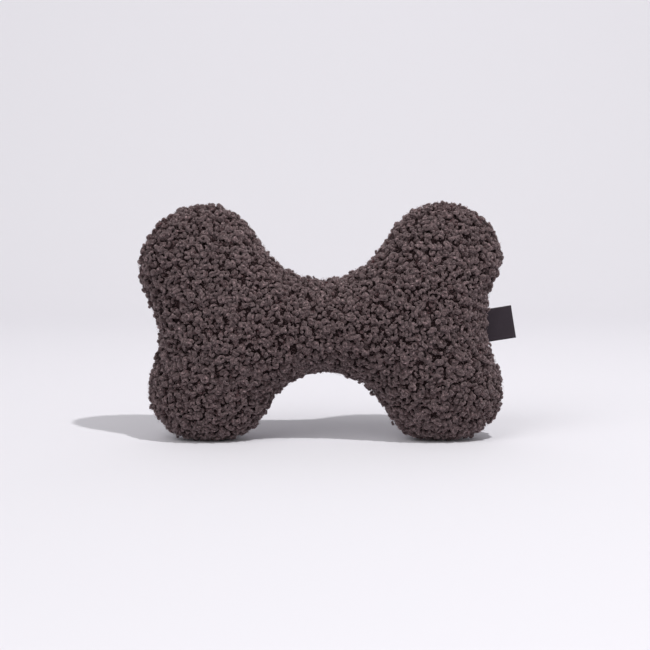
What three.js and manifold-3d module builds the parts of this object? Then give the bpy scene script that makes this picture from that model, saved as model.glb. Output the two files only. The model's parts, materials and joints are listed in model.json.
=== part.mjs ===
// A bone-shaped plush dog toy: two boucle panels sewn together inside out, turned, stuffed with
// fibre round a squeaker, and closed by hand. A folded woven label is caught in the side seam.
// Millimetres, +Z up. The toy stands on its two lower lobes and faces -Y. The origin is on the
// floor, in the middle of the toy's width and thickness.
import * as THREE from "three";
import { mergeVertices } from "three/addons/utils/BufferGeometryUtils.js";
import Module from "manifold-3d";

const wasm = await Module();
wasm.setup();

// The sewn outline. Each lobe is an arc, and a hollow arc touches each pair of neighbours.
// x is measured from the middle of the shank, z from the floor before the toy settles.
const upperRight = { x: 74.1, z: 108.7, radius: 36.8 };
const upperLeft = { x: -71.8, z: 106.6, radius: 38.4 };
const lowerLeft = { x: -67.4, z: 32.4, radius: 37.2 };
const lowerRight = { x: 74.1, z: 32.3, radius: 37.1 };
const shankTop = 98.6; // height of the upper saddle's lowest point
const shankBottom = 42.1; // height of the lower saddle's highest point
const leftNotch = 98.3; // from the middle to the hollow of the left end
const rightNotch = 101.2; // from the middle to the hollow of the right end
const tuck = { angle: -22.4, depth: 4, reach: 16 }; // the upper right lobe is drawn in beside the label

// How full the toy is, and how its weight presses the feet
const crown = 31; // half the thickness at the fullest place
const footSink = 4.3; // how far its weight pushes the lower lobes up
const footReach = 6; // how quickly that dies out with height
const footCut = 0.5; // the depth of the flat foot

// The boucle cloth and its seam
const cloth = 4.0; // backing and pile
const seamAllowance = 6.4; // width of the turned-in edge
const allowanceThickness = 1.8; // its pile is crushed flat
const seamDepth = 1.6; // how far the stitches draw the seam in
const rimHalf = 2.5; // half the distance between the two rounded rims beside the seam
const rimTurn = 0.3; // share of the seam's depth at which the rims have turned halfway in
const seamGap = 0.3; // between the two panels at the seam
const clearance = 0.3; // between pieces that touch
const fillClearance = 0.4; // between the cloth and the filling
const fillEase = 1.2; // how much further the filling stays from the turned-in edge's corner
const thread = 0.6; // diameter of the sewing thread
const stitchInset = 5.2; // from the outline to the row of machine stitches
const fillingGap = 46; // length of the seam that is closed by hand, under the shank
const ladderPitch = 5; // along the seam, from rung to rung of the hand stitches
const ladderReach = 0.8; // from the seam to each side of the hand stitches

// The woven label, folded in half, with its two ends caught in the seam
const label = { width: 20, flap: 12.9, ribbon: 0.35, inside: 0.3, tilt: 9.5, z: 70.8 };
const labelRoot = 3.9; // how far the ends stand out past the notch before the label bends
const bendClearance = 0.1; // round the line where it bends
const labelShort = 2.4; // how far the ends stop short of the turned-in edge

// The squeaker: a blow-moulded bulb with a reed in a sleeve, pressed into its back
const bulb = { radius: 19, half: 12, wall: 0.9, fullness: 0.75, seat: 0.8 };
const sleeve = { radius: 4.5, wall: 1.2, depth: 9.2, flange: 6.2, flangeThickness: 1.2 };
const bed = { length: 8.4, channelWidth: 1.8, channelDepth: 1.3, channelEnd: 1.5 };
const clampLength = 2.8;
const reed = { width: 3.6, thickness: 0.2, tail: 1.6, tongue: 5.1 };
const reedSlot = 0.7; // between the bed and the clamp
const plugInset = 0.5; // how far the bed and the clamp lie inside the sleeve's mouth
const cutSpare = 1; // how far a cutting block reaches past the plug

// The filling is pushed in as wads: a long one round the squeaker, and one in each lobe
const coreWad = { x: 62, y: 60, z: 46 };

// Fineness of the meshes
const lobeSteps = 12;
const saddleSteps = 8;
const notchSteps = 6;
const crownInsets = [0, 1, 4.5, 11];
const roundSteps = 24;
const bulbSteps = 10;
const reedSteps = 16;
const threadSides = 5;
const spreadSweeps = 120; // passes that spread the patch's points
const fillSweeps = 500; // passes that solve for the stuffed height
const overRelaxation = 1.85; // lengthens each pass's step, so that fewer are needed
const bisections = 80; // halvings that find a hollow arc
const beyond = 500; // further out than any point of the toy

const boucle = new THREE.MeshStandardMaterial({ color: 0x4b4041, roughness: 0.95 });
const fibre = new THREE.MeshStandardMaterial({ color: 0xe9e7e2, roughness: 1 });
const polyester = new THREE.MeshStandardMaterial({ color: 0x2b2527, roughness: 0.7 });
const ribbonWeave = new THREE.MeshStandardMaterial({ color: 0x29262a, roughness: 0.65 });
const softPlastic = new THREE.MeshStandardMaterial({ color: 0xe6e2d6, roughness: 0.45 });
const hardPlastic = new THREE.MeshStandardMaterial({ color: 0xf2f2ee, roughness: 0.35 });
const reedFilm = new THREE.MeshStandardMaterial({ color: 0xd9a441, roughness: 0.3 });

const radians = THREE.MathUtils.degToRad;

// Closed meshes to solids and back, for the cuts
function solidOf(geometry) {
  const bare = new THREE.BufferGeometry();
  const plain = geometry.index ? geometry.toNonIndexed() : geometry;
  bare.setAttribute("position", plain.getAttribute("position"));
  const merged = mergeVertices(bare, 1e-4);
  return new wasm.Manifold(new wasm.Mesh({
    numProp: 3,
    vertProperties: merged.attributes.position.array,
    triVerts: new Uint32Array(merged.index.array),
  }));
}

function geometryOf(solid) {
  const mesh = solid.getMesh();
  const geometry = new THREE.BufferGeometry();
  geometry.setAttribute("position", new THREE.BufferAttribute(mesh.vertProperties, 3));
  geometry.setIndex(new THREE.BufferAttribute(mesh.triVerts, 1));
  const flat = geometry.toNonIndexed();
  flat.computeVertexNormals();
  return flat;
}

function largestPiece(solid) {
  return solid.decompose().sort((a, b) => b.volume() - a.volume())[0];
}

function blockSolid(low, high) {
  const size = new THREE.Vector3().subVectors(high, low);
  const geometry = new THREE.BoxGeometry(size.x, size.y, size.z);
  geometry.translate(...new THREE.Vector3().addVectors(low, high).multiplyScalar(0.5).toArray());
  return solidOf(geometry);
}

// The hollow arc that touches lobes a and b from outside. Its nearest point to the middle of the
// toy lies `reach` along the unit direction `out`. A wider arc lies further out, so halving
// the bracket finds the radius.
function hollowBetween(a, b, out, reach) {
  const apart = Math.hypot(b.x - a.x, b.z - a.z);
  const along = { x: (b.x - a.x) / apart, z: (b.z - a.z) / apart };
  const centreFor = (radius) => {
    const toA = a.radius + radius;
    const toB = b.radius + radius;
    const foot = (toA * toA - toB * toB + apart * apart) / (2 * apart);
    const rise = Math.sqrt(Math.max(0, toA * toA - foot * foot));
    const side = out.x * -along.z + out.z * along.x > 0 ? 1 : -1;
    return {
      x: a.x + along.x * foot - along.z * rise * side,
      z: a.z + along.z * foot + along.x * rise * side,
    };
  };
  let low = Math.max(0, (apart - a.radius - b.radius) / 2);
  let high = 4 * beyond;
  for (let i = 0; i < bisections; i += 1) {
    const radius = (low + high) / 2;
    const centre = centreFor(radius);
    if (centre.x * out.x + centre.z * out.z - radius < reach) low = radius;
    else high = radius;
  }
  return { ...centreFor(low), radius: low };
}

const topSaddle = hollowBetween(upperRight, upperLeft, { x: 0, z: 1 }, shankTop);
const leftHollow = hollowBetween(upperLeft, lowerLeft, { x: -1, z: 0 }, leftNotch);
const bottomSaddle = hollowBetween(lowerLeft, lowerRight, { x: 0, z: -1 }, -shankBottom);
const rightHollow = hollowBetween(lowerRight, upperRight, { x: 1, z: 0 }, rightNotch);

// The outline anticlockwise, as seen from the front. Each arc runs from the touching point with
// the one before it to the touching point with the one after it.
const chain = [
  { arc: upperRight, steps: lobeSteps, turn: 1 },
  { arc: topSaddle, steps: saddleSteps, turn: -1 },
  { arc: upperLeft, steps: lobeSteps, turn: 1 },
  { arc: leftHollow, steps: notchSteps, turn: -1 },
  { arc: lowerLeft, steps: lobeSteps, turn: 1 },
  { arc: bottomSaddle, steps: saddleSteps, turn: -1 },
  { arc: lowerRight, steps: lobeSteps, turn: 1 },
  { arc: rightHollow, steps: notchSteps, turn: -1 },
];

const angleTo = (from, to) => Math.atan2(to.z - from.z, to.x - from.x);

chain.forEach((link, i) => {
  const before = chain[(i + chain.length - 1) % chain.length].arc;
  const after = chain[(i + 1) % chain.length].arc;
  link.start = angleTo(link.arc, before);
  const sweep = angleTo(link.arc, after) - link.start;
  const full = 2 * Math.PI;
  link.sweep = link.turn > 0 ? ((sweep % full) + full) % full : -(((-sweep % full) + full) % full);
});

// The seam pulls the lobe flat round one place. The pull dies out over `reach`, inwards as well.
const tuckAngle = tuck.angle * THREE.MathUtils.DEG2RAD;
const tuckPlace = {
  x: upperRight.x + upperRight.radius * Math.cos(tuckAngle),
  z: upperRight.z + upperRight.radius * Math.sin(tuckAngle),
};

function drawnIn(point) {
  const away = Math.hypot(point.x - tuckPlace.x, point.z - tuckPlace.z);
  const share = Math.max(0, 1 - (away / tuck.reach) ** 2) ** 2;
  return { x: point.x - tuck.depth * share, z: point.z };
}

// A point of the outline moved in by `inset`: the arcs keep their centres, so they still touch
function linkPoint(link, share, inset) {
  const angle = link.start + link.sweep * share;
  const radius = link.arc.radius - link.turn * inset;
  return drawnIn({
    x: link.arc.x + radius * Math.cos(angle),
    z: link.arc.z + radius * Math.sin(angle),
  });
}

// The same on the straight sides that the meshes have between the outline's points
function sidePoint(link, share, inset) {
  const first = Math.min(link.steps - 1, Math.floor(share * link.steps));
  const a = linkPoint(link, first / link.steps, inset);
  const b = linkPoint(link, (first + 1) / link.steps, inset);
  const part = share * link.steps - first;
  return { x: a.x + part * (b.x - a.x), z: a.z + part * (b.z - a.z) };
}

function ring(inset) {
  const points = [];
  for (const link of chain) {
    for (let i = 0; i < link.steps; i += 1) points.push(linkPoint(link, i / link.steps, inset));
  }
  return points;
}

const around = ring(0).length;
const acrossSteps = lobeSteps + saddleSteps; // from lobe to lobe along the toy
const downSteps = lobeSteps + notchSteps; // from lobe to lobe down an end
const firstCorner = lobeSteps / 2; // the middle of the first lobe's arc

// The flat pattern of a panel: rings in from the outline, then a four-sided patch whose corners
// are the middles of the lobes' arcs
function patternPoints() {
  const points = [];
  crownInsets.forEach((inset) => points.push(...ring(inset)));
  const last = (crownInsets.length - 1) * around;
  const onRing = (i) => last + ((i % around) + around) % around;
  const grid = [];
  for (let row = 0; row <= downSteps; row += 1) {
    grid.push([]);
    for (let column = 0; column <= acrossSteps; column += 1) {
      const top = onRing(firstCorner + column);
      const left = onRing(firstCorner + acrossSteps + row);
      const bottom = onRing(firstCorner + 2 * acrossSteps + downSteps - column);
      const right = onRing(firstCorner - row);
      let index = points.length;
      if (row === 0) index = top;
      else if (row === downSteps) index = bottom;
      else if (column === 0) index = right;
      else if (column === acrossSteps) index = left;
      else {
        const u = column / acrossSteps;
        const v = row / downSteps;
        const blend = (axis) => {
          const edges = (1 - v) * points[top][axis] + v * points[bottom][axis]
            + (1 - u) * points[right][axis] + u * points[left][axis];
          const corners = (1 - u) * (1 - v) * points[onRing(firstCorner)][axis]
            + u * (1 - v) * points[onRing(firstCorner + acrossSteps)][axis]
            + u * v * points[onRing(firstCorner + acrossSteps + downSteps)][axis]
            + (1 - u) * v * points[onRing(firstCorner - downSteps)][axis];
          return edges - corners;
        };
        points.push({ x: blend("x"), z: blend("z") });
      }
      grid[row].push(index);
    }
  }
  spreadGrid(points, grid);
  return { points, grid };
}

// Blending the edges alone would fold the patch under the hollow saddles, so its inner points are
// spread until the lines across and down it are level curves of smooth fields (Winslow's method)
function spreadGrid(points, grid) {
  for (let sweep = 0; sweep < spreadSweeps; sweep += 1) {
    for (let row = 1; row < downSteps; row += 1) {
      for (let column = 1; column < acrossSteps; column += 1) {
        const at = (down, across) => points[grid[row + down][column + across]];
        const [left, right, up, down] = [at(0, -1), at(0, 1), at(-1, 0), at(1, 0)];
        const across = { x: (right.x - left.x) / 2, z: (right.z - left.z) / 2 };
        const along = { x: (down.x - up.x) / 2, z: (down.z - up.z) / 2 };
        const [aa, dd] = [across.x ** 2 + across.z ** 2, along.x ** 2 + along.z ** 2];
        const ad = across.x * along.x + across.z * along.z;
        for (const axis of ["x", "z"]) {
          const twist = at(1, 1)[axis] - at(1, -1)[axis] - at(-1, 1)[axis] + at(-1, -1)[axis];
          const sum = dd * (left[axis] + right[axis]) + aa * (up[axis] + down[axis]);
          at(0, 0)[axis] = (sum - (ad * twist) / 2) / (2 * (aa + dd));
        }
      }
    }
  }
}

const pattern = patternPoints();

// Faces over the pattern. Inside its edge they use every point, or with a step of 2 every
// second one, which is enough for the sides that nobody sees.
function patternFaces(step) {
  const faces = [];
  for (let k = 0; k + 1 < crownInsets.length; k += 1) {
    for (let i = 0; i < around; i += step) {
      const j = (i + step) % around;
      const [a, b] = [k * around + i, k * around + j];
      const [d, c] = [a + around, b + around];
      if (k === 0 && step === 2) faces.push([a, a + 1, d], [a + 1, c, d], [a + 1, b, c]);
      else faces.push([a, b, c], [a, c, d]);
    }
  }
  // Each quad is split along the diagonal that points at its own corner of the patch
  for (let row = 0; row < downSteps; row += step) {
    for (let column = 0; column < acrossSteps; column += step) {
      const [a, b] = [pattern.grid[row][column], pattern.grid[row][column + step]];
      const [d, c] = [pattern.grid[row + step][column], pattern.grid[row + step][column + step]];
      const sameHalf = 2 * row + step < downSteps === 2 * column + step < acrossSteps;
      if (sameHalf) faces.push([a, b, c], [a, c, d]);
      else faces.push([a, b, d], [b, c, d]);
    }
  }
  return faces;
}

const outerFaces = patternFaces(1);
const innerFaces = patternFaces(2);

// The filling pushes the skin out as air pushes out a soap film: the film's height solves
// Poisson's equation on the pattern, with nothing at the seam. Its square root gives the
// round edge that a stuffed panel has.
function fullness() {
  const { points } = pattern;
  const pull = points.map(() => new Map());
  const share = points.map(() => 0);
  for (const face of outerFaces) {
    for (let k = 0; k < 3; k += 1) {
      const [a, b, c] = [face[k], face[(k + 1) % 3], face[(k + 2) % 3]];
      const u = { x: points[a].x - points[c].x, z: points[a].z - points[c].z };
      const v = { x: points[b].x - points[c].x, z: points[b].z - points[c].z };
      const twiceArea = Math.abs(u.x * v.z - u.z * v.x);
      const cotangent = (u.x * v.x + u.z * v.z) / twiceArea / 2;
      pull[a].set(b, (pull[a].get(b) ?? 0) + cotangent);
      pull[b].set(a, (pull[b].get(a) ?? 0) + cotangent);
      share[c] += twiceArea / 6;
    }
  }
  const height = points.map(() => 0);
  for (let sweep = 0; sweep < fillSweeps; sweep += 1) {
    for (let i = around; i < points.length; i += 1) {
      let sum = share[i];
      let weight = 0;
      for (const [j, w] of pull[i]) {
        sum += w * height[j];
        weight += w;
      }
      height[i] += overRelaxation * (sum / weight - height[i]);
    }
  }
  const most = Math.max(...height);
  return height.map((h) => Math.sqrt(Math.max(0, h) / most));
}

const swelling = fullness();

// Half of the stuffed skin, on the +Y side
const skin = pattern.points.map(({ x, z }, i) => (
  new THREE.Vector3(x, Math.hypot(rimHalf, swelling[i] * Math.sqrt(crown ** 2 - rimHalf ** 2)), z)
));

function skinNormals() {
  const geometry = new THREE.BufferGeometry().setFromPoints(skin);
  geometry.setIndex(outerFaces.flat());
  geometry.computeVertexNormals();
  const normals = geometry.attributes.normal;
  const sign = normals.getY(skin.length - 1) < 0 ? -1 : 1;
  return skin.map((point, i) => (
    new THREE.Vector3().fromBufferAttribute(normals, i).multiplyScalar(sign)
  ));
}

const normals = skinNormals();

// The skin moved in by `depth`. Its first ring, beside the seam, is at the height `rim`, and
// `ease` moves that ring further in.
function innerSkin(depth, rim, ease = 0) {
  const first = ring(depth + ease);
  return skin.map((point, i) => {
    if (i < around) return new THREE.Vector3(first[i].x, rim, first[i].z);
    return point.clone().addScaledVector(normals[i], -depth);
  });
}

// The toy's weight presses its feet flat: heights near the floor are pushed up, most at the floor
const lowest = Math.min(lowerLeft.z - lowerLeft.radius, lowerRight.z - lowerRight.radius);

function settled(z) {
  return z + footSink * Math.exp((lowest - z) / footReach) - (lowest + footSink + footCut);
}

// A closed body of a chain of layers: a cap, rings, and a cap that faces the other way. Each
// layer starts with a ring of the outline's points.
function shellGeometry(outer, outerCap, rings, inner, innerCap) {
  const layers = [outer, ...rings, inner];
  const starts = [];
  const points = [];
  for (const layer of layers) {
    starts.push(points.length);
    points.push(...layer);
  }
  const last = starts[layers.length - 1];
  const faces = outerCap.map((face) => [...face]);
  innerCap.forEach(([a, b, c]) => faces.push([last + a, last + c, last + b]));
  for (let k = 0; k + 1 < starts.length; k += 1) {
    for (let i = 0; i < around; i += 1) {
      const j = (i + 1) % around;
      const [a, b, c, d] = [starts[k] + i, starts[k] + j, starts[k + 1] + j, starts[k + 1] + i];
      faces.push([a, c, b], [a, d, c]);
    }
  }
  const geometry = new THREE.BufferGeometry();
  geometry.setFromPoints(points.map((p) => new THREE.Vector3(p.x, p.y, settled(p.z))));
  geometry.setIndex(faces.flat());
  return geometry;
}

const ringAt = (inset, y) => ring(inset).map(({ x, z }) => new THREE.Vector3(x, y, z));
const mirrored = (points) => points.map((p) => new THREE.Vector3(p.x, -p.y, p.z));

function facingOut(geometry) {
  const solid = solidOf(geometry);
  if (solid.volume() > 0) return solid;
  const index = geometry.index.array;
  for (let i = 0; i < index.length; i += 3) {
    [index[i + 1], index[i + 2]] = [index[i + 2], index[i + 1]];
  }
  return solidOf(geometry);
}

// A panel, from the middle of its face over the rim, down into the seam, along the turned-in
// edge and back up its wrong side
const allowanceEdge = seamDepth + seamAllowance;
const allowanceTop = seamGap / 2 + allowanceThickness;

function panelSolid(side) {
  const onSide = side > 0 ? (points) => points : mirrored;
  const rings = [
    ringAt(rimTurn * seamDepth, rimHalf / 2),
    ringAt(seamDepth, seamGap / 2),
    ringAt(allowanceEdge, seamGap / 2),
    ringAt(allowanceEdge, allowanceTop),
  ].map(onSide);
  const wrongSide = onSide(innerSkin(cloth, allowanceTop));
  return facingOut(shellGeometry(onSide(skin), outerFaces, rings, wrongSide, innerFaces));
}

// The label stands out of the right notch, turned up a little. Its own frame has the origin in
// the middle of the line where it bends, X out of the seam and Z along that line.
const labelTurn = radians(label.tilt);
const rimAtLabel = rimAt(settledInverse(label.z));
const labelPlace = new THREE.Vector3(rimAtLabel + labelRoot, 0, label.z);

// Where the right end's outline is at a height
function rimAt(z) {
  const drop = rightHollow.z - z;
  return rightHollow.x - Math.sqrt(rightHollow.radius ** 2 - drop ** 2);
}

function settledInverse(z) {
  return z + lowest + footSink + footCut;
}

const labelHalf = label.ribbon + label.inside / 2;
const flapRoot = bendClearance;
const tailRoot = -Math.hypot(flapRoot, labelHalf) - bendClearance;
const tailLength = labelRoot + allowanceEdge - labelShort;

function inLabelFrame(geometry) {
  geometry.rotateY(-labelTurn);
  geometry.translate(labelPlace.x, labelPlace.y, labelPlace.z);
  return geometry;
}

function labelPocket() {
  const long = tailLength + clearance;
  const high = label.width + 2 * clearance;
  const geometry = new THREE.BoxGeometry(long, 2 * (labelHalf + clearance), high);
  geometry.translate(-long / 2, 0, 0);
  return solidOf(inLabelFrame(geometry));
}

// One ribbon folded on itself, as an outline in the label's X and Y
function labelFlap() {
  const root = flapRoot;
  const fold = label.flap - labelHalf;
  const inside = label.inside / 2;
  const outline = new THREE.Shape();
  outline.moveTo(root, -labelHalf);
  outline.lineTo(fold, -labelHalf);
  outline.absarc(fold, 0, labelHalf, -Math.PI / 2, Math.PI / 2, false);
  outline.lineTo(root, labelHalf);
  outline.lineTo(root, inside);
  outline.lineTo(fold, inside);
  outline.absarc(fold, 0, inside, Math.PI / 2, -Math.PI / 2, true);
  outline.lineTo(root, -inside);
  const geometry = new THREE.ExtrudeGeometry(outline, {
    depth: label.width, bevelEnabled: false, curveSegments: 8,
  });
  geometry.translate(0, 0, -label.width / 2);
  return inLabelFrame(geometry);
}

function labelTail(side) {
  const geometry = new THREE.BoxGeometry(tailLength + tailRoot, label.ribbon, label.width);
  geometry.translate((tailRoot - tailLength) / 2, side * (label.inside + label.ribbon) / 2, 0);
  return inLabelFrame(geometry);
}

// A thread as a thin tube through points
function threadTube(points, steps) {
  const path = new THREE.CatmullRomCurve3(points.map((p) => new THREE.Vector3(p.x, p.y, settled(p.z))));
  const section = new THREE.Shape();
  for (let i = 0; i < threadSides; i += 1) {
    const angle = (2 * Math.PI * i) / threadSides;
    const [x, y] = [thread / 2 * Math.cos(angle), thread / 2 * Math.sin(angle)];
    if (i === 0) section.moveTo(x, y);
    else section.lineTo(x, y);
  }
  return new THREE.ExtrudeGeometry(section, { steps, extrudePath: path, bevelEnabled: false });
}

// Shares of the lower saddle between which the toy is closed by hand
const saddleLink = chain[5];
const gapShare = fillingGap / (Math.abs(saddleLink.sweep) * saddleLink.arc.radius);
const gapStart = (1 - gapShare) / 2;
const gapEnd = (1 + gapShare) / 2;

// The machine's row of stitches goes all the way round, from one end of the filling gap to the
// other. One of its two threads lies on each panel's turned-in edge.
function rowThread(side) {
  const y = side * (allowanceTop + clearance + thread / 2);
  const points = [];
  const order = [5, 6, 7, 0, 1, 2, 3, 4, 5];
  order.forEach((index, k) => {
    const link = chain[index];
    const from = k === 0 ? gapEnd : 0;
    const to = k === order.length - 1 ? gapStart : 1;
    const steps = Math.max(1, Math.round(link.steps * (to - from)));
    for (let i = 0; i < steps; i += 1) {
      points.push({ ...linkPoint(link, from + ((to - from) * i) / steps, stitchInset), y });
    }
  });
  points.push({ ...linkPoint(saddleLink, gapStart, stitchInset), y });
  return threadTube(points, points.length - 1);
}

// The hand stitches cross the seam from side to side, in the groove between the rims
function ladderThread() {
  const rungs = Math.round(fillingGap / ladderPitch);
  const points = [];
  for (let i = 0; i <= 2 * rungs; i += 1) {
    const share = gapStart + (gapEnd - gapStart) * (i / (2 * rungs));
    const y = (Math.floor((i + 1) / 2) % 2 === 0 ? 1 : -1) * ladderReach;
    points.push({ ...sidePoint(saddleLink, share, 0), y });
  }
  return threadTube(points, 2 * points.length);
}

// The squeaker lies in the middle of the shank, its axis along Y
const shankMiddle = (settled(shankTop) + settled(shankBottom)) / 2;

function turned(profile, steps) {
  const geometry = new THREE.LatheGeometry(profile.map(([r, y]) => new THREE.Vector2(r, y)), steps);
  geometry.translate(0, 0, shankMiddle);
  return geometry;
}

// A full disc: a superellipse whose corners are fuller than an ellipse's. Its back is flat round
// the mouth, where the sleeve's flange sits.
function bulbProfile(grow, mouth) {
  const points = [];
  const radius = bulb.radius + grow;
  const half = bulb.half + grow;
  const seat = sleeve.flange + bulb.seat;
  for (let i = 0; i <= bulbSteps; i += 1) {
    const angle = -Math.PI / 2 + (Math.PI * i) / bulbSteps;
    const [c, s] = [Math.max(0, Math.cos(angle)), Math.sin(angle)];
    const r = radius * c ** bulb.fullness;
    const y = half * Math.sign(s) * Math.abs(s) ** bulb.fullness;
    if (s < 0 || r > seat + grow) points.push([i === 0 ? 0 : r, y]);
  }
  points.push([seat + grow, half], [mouth, half]);
  return points;
}

function bulbSolid() {
  const mouth = sleeve.radius + clearance;
  const outside = bulbProfile(0, mouth);
  const inside = bulbProfile(-bulb.wall, mouth).reverse();
  return facingOut(indexed(turned([...outside, ...inside], roundSteps)));
}

function indexed(geometry) {
  const bare = new THREE.BufferGeometry();
  bare.setAttribute("position", geometry.getAttribute("position"));
  if (geometry.index) bare.setIndex(geometry.index);
  return mergeVertices(bare, 1e-4);
}

const flangeBack = bulb.half + clearance;
const flangeFront = flangeBack + sleeve.flangeThickness;
const boreRadius = sleeve.radius - sleeve.wall;

function sleeveSolid() {
  const inner = flangeBack - sleeve.depth;
  const profile = [[boreRadius, inner], [sleeve.radius, inner], [sleeve.radius, flangeBack],
    [sleeve.flange, flangeBack], [sleeve.flange, flangeFront], [boreRadius, flangeFront],
    [boreRadius, inner]];
  return facingOut(indexed(turned(profile, roundSteps)));
}

// The bed and the clamp are the two halves of a plug, with the reed's root between them
const plugRadius = boreRadius - clearance;
const plugBack = flangeFront - plugInset;

function halfPlug(length, side) {
  const end = plugBack - length;
  const whole = facingOut(indexed(turned([[0, end], [plugRadius, end], [plugRadius, plugBack],
    [0, plugBack]], reedSteps)));
  const face = shankMiddle + side * reedSlot / 2;
  const far = shankMiddle + side * 2 * plugRadius;
  const half = blockSolid(
    new THREE.Vector3(-plugRadius - cutSpare, end - cutSpare, Math.min(face, far)),
    new THREE.Vector3(plugRadius + cutSpare, plugBack + cutSpare, Math.max(face, far)),
  );
  return whole.intersect(half);
}

// Air gets out under the reed, along a channel that is open at the back
function bedSolid() {
  const face = shankMiddle - reedSlot / 2;
  const channel = blockSolid(
    new THREE.Vector3(-bed.channelWidth / 2, plugBack - bed.length + bed.channelEnd, face - bed.channelDepth),
    new THREE.Vector3(bed.channelWidth / 2, plugBack + cutSpare, face + cutSpare),
  );
  return halfPlug(bed.length, -1).subtract(channel);
}

const reedPivot = plugBack - clampLength;

function reedGeometry() {
  const length = reed.tail + reed.tongue;
  const geometry = new THREE.BoxGeometry(reed.width, length, reed.thickness);
  geometry.translate(0, reedPivot + reed.tail - length / 2, shankMiddle);
  return geometry;
}

// The filling: everything inside the cloth, less the groove that the turned-in edges and their
// threads need
function fillingSolid() {
  const grooveHalf = allowanceTop + thread + 2 * clearance;
  const edge = allowanceEdge + fillClearance;
  const depth = cloth + fillClearance;
  const back = innerSkin(depth, grooveHalf, fillEase);
  const front = mirrored(back);
  const sides = [ringAt(edge, grooveHalf), ringAt(edge, -grooveHalf)];
  return facingOut(shellGeometry(back, innerFaces, sides, front, innerFaces));
}

function wads() {
  const filling = fillingSolid().subtract(labelPocket());
  const wadGeometry = (grow) => {
    const geometry = new THREE.SphereGeometry(1, roundSteps, roundSteps / 2);
    geometry.scale(coreWad.x + grow, coreWad.y + grow, coreWad.z + grow);
    geometry.translate(0, 0, shankMiddle);
    return facingOut(indexed(geometry));
  };
  const pocketProfile = bulbProfile(clearance, 0);
  const flangePocket = turned([[0, 0], [sleeve.flange + clearance, 0],
    [sleeve.flange + clearance, flangeFront + clearance], [0, flangeFront + clearance]], roundSteps);
  const pocket = facingOut(indexed(turned(pocketProfile, roundSteps)))
    .add(facingOut(indexed(flangePocket)));
  const far = beyond;
  const block = (x0, y0, z0, x1, y1, z1) => (
    blockSolid(new THREE.Vector3(x0, y0, z0), new THREE.Vector3(x1, y1, z1))
  );
  const half = clearance / 2;
  const core = filling.intersect(wadGeometry(0)).subtract(pocket);
  const rest = filling.subtract(wadGeometry(clearance));
  const middle = shankMiddle;
  return {
    fill_core_front: core.intersect(block(-far, -far, -far, far, -half, far)),
    fill_core_back: core.intersect(block(-far, half, -far, far, far, far)),
    fill_upper_left: rest.intersect(block(-far, -far, middle + half, -half, far, far)),
    fill_upper_right: rest.intersect(block(half, -far, middle + half, far, far, far)),
    fill_lower_left: rest.intersect(block(-far, -far, -far, -half, far, middle - half)),
    fill_lower_right: rest.intersect(block(half, -far, -far, far, far, middle - half)),
  };
}

// Everything in one group
const toy = new THREE.Group();

function place(name, geometry, material) {
  const mesh = new THREE.Mesh(geometry, material);
  mesh.name = name;
  toy.add(mesh);
}

const floorCut = blockSolid(
  new THREE.Vector3(-beyond, -beyond, -beyond),
  new THREE.Vector3(beyond, beyond, 0),
);
const pocket = labelPocket();
const footed = (solid) => geometryOf(solid.subtract(pocket).subtract(floorCut));

place("front_panel", footed(panelSolid(-1)), boucle);
place("back_panel", footed(panelSolid(1)), boucle);
place("seam_needle_thread", rowThread(-1), polyester);
place("seam_bobbin_thread", rowThread(1), polyester);
place("closing_thread", ladderThread(), polyester);
place("side_label", labelFlap(), ribbonWeave);
place("label_tail_front", labelTail(-1), ribbonWeave);
place("label_tail_back", labelTail(1), ribbonWeave);
for (const [name, solid] of Object.entries(wads())) {
  place(name, geometryOf(largestPiece(solid)), fibre);
}
place("squeaker_bulb", geometryOf(bulbSolid()), softPlastic);
place("squeaker_sleeve", geometryOf(sleeveSolid()), hardPlastic);
place("reed_bed", geometryOf(bedSolid()), hardPlastic);
place("reed_clamp", geometryOf(halfPlug(clampLength, 1)), hardPlastic);
place("squeaker_reed", reedGeometry(), reedFilm);

// The origin is on the floor, in the middle of the whole width
const box = new THREE.Box3().setFromObject(toy, true);
toy.position.x = -(box.min.x + box.max.x) / 2;

export default toy;
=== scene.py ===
# Looks of the bone-shaped plush toy in curly boucle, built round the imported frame.
# Metres, +Z up, the front panel faces -Y. Lengths in the dictionaries are in millimetres, but the
# stage's are in metres.
import json
import math
import random
import bmesh
import bpy
import numpy as np
from mathutils import Matrix, Vector, noise


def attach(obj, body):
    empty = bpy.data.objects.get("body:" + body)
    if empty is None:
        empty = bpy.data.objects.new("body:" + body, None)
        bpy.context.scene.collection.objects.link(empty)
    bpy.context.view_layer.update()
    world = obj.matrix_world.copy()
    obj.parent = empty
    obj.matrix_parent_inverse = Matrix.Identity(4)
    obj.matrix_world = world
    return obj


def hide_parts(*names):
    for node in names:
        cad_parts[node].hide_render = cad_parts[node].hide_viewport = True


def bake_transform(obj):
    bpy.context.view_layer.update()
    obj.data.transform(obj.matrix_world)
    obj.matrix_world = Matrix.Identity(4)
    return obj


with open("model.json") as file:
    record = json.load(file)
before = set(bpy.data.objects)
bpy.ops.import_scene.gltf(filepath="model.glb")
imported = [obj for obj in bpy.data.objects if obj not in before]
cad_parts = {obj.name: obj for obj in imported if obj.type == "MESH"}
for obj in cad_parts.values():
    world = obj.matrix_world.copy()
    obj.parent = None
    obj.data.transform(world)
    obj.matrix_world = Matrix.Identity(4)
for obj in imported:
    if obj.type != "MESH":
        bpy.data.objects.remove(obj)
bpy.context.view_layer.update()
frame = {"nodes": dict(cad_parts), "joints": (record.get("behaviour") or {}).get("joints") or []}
nodes = frame["nodes"]
mm = 0.001
upAxis = Vector((0, 0, 1))


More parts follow.
